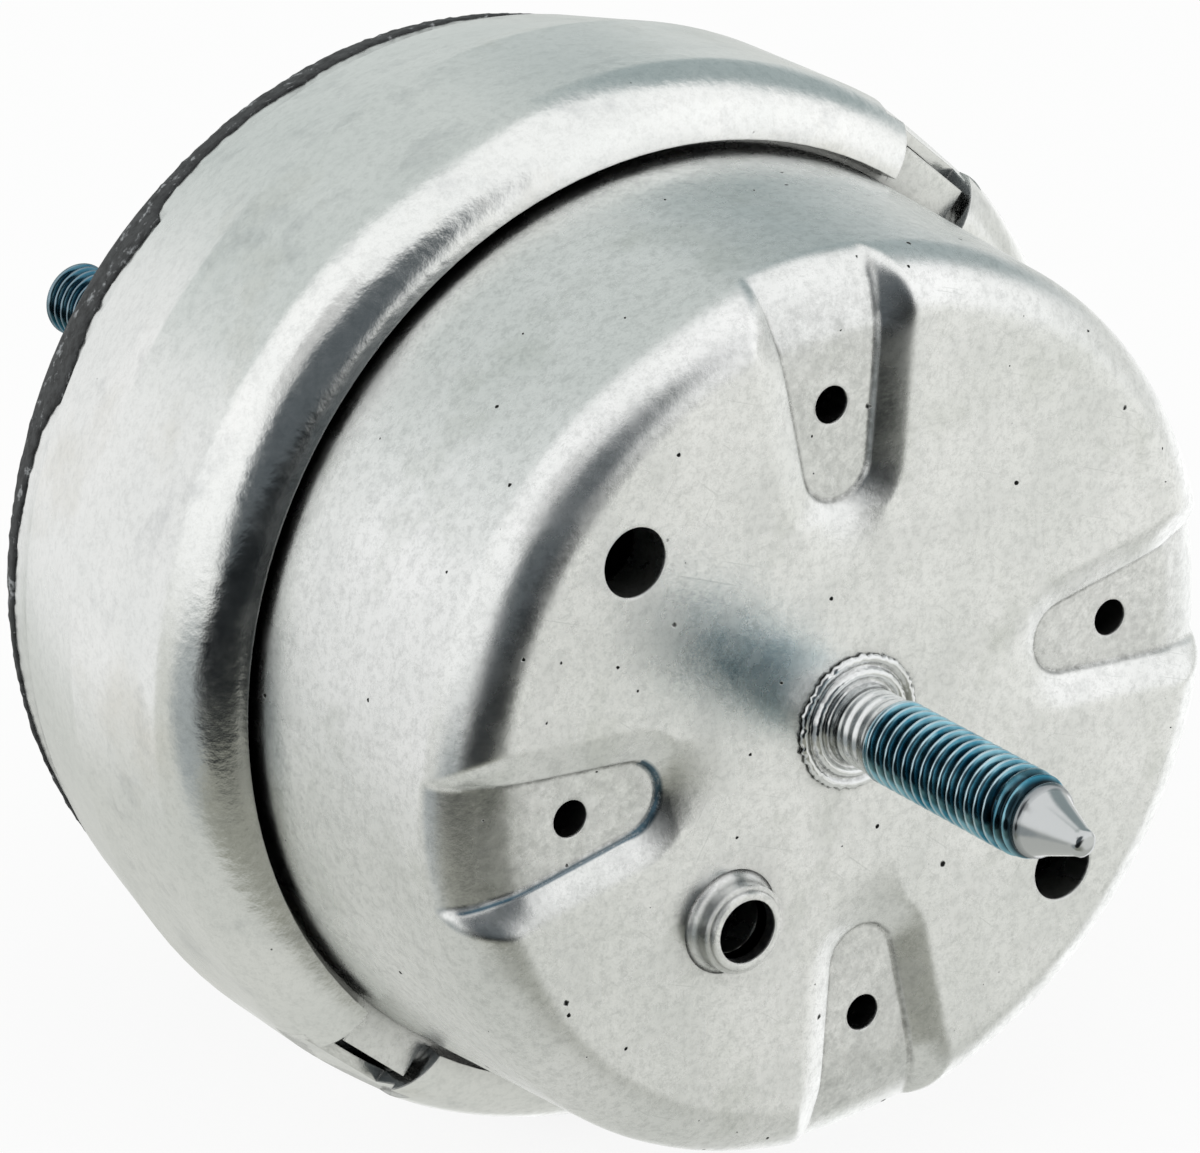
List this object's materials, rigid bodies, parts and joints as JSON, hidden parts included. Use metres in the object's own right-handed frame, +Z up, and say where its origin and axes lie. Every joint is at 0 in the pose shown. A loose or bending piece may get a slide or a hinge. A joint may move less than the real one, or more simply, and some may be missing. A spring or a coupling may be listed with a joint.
{
  "type": "engine mount",
  "caption": "Hydraulic engine mount: cast base cup with recessed pads and a threaded stud, crimped into an aluminium shell that holds a rubber spring and a core with a stud.",
  "frame": {"origin": "centre of the base's flat mounting face, on the axis of the two studs", "axes": "+Y along the studs' axis from the base towards the core, +Z up through the middle of a recessed pad"},
  "size_m": [0.103, 0.1684, 0.103],
  "materials": {
    "shell_aluminium": "satin, drawn and rolled",
    "cast_aluminium": "die cast, faced",
    "zinc_steel": "blue zinc plated",
    "spring_steel": "oiled",
    "rubber": "moulded matte",
    "plate_aluminium": "die cast"
  },
  "bodies": {
    "root": {"outer_shell": "shell_aluminium", "base_cup": "cast_aluminium", "base_stud": "zinc_steel", "core": "cast_aluminium", "core_stud": "zinc_steel", "core_pin": "spring_steel", "main_spring": "rubber", "lower_track_plate": "plate_aluminium", "upper_track_plate": "plate_aluminium", "decoupler_membrane": "rubber", "diaphragm": "rubber", "diaphragm_ring": "spring_steel"}
  },
  "joints": []
}
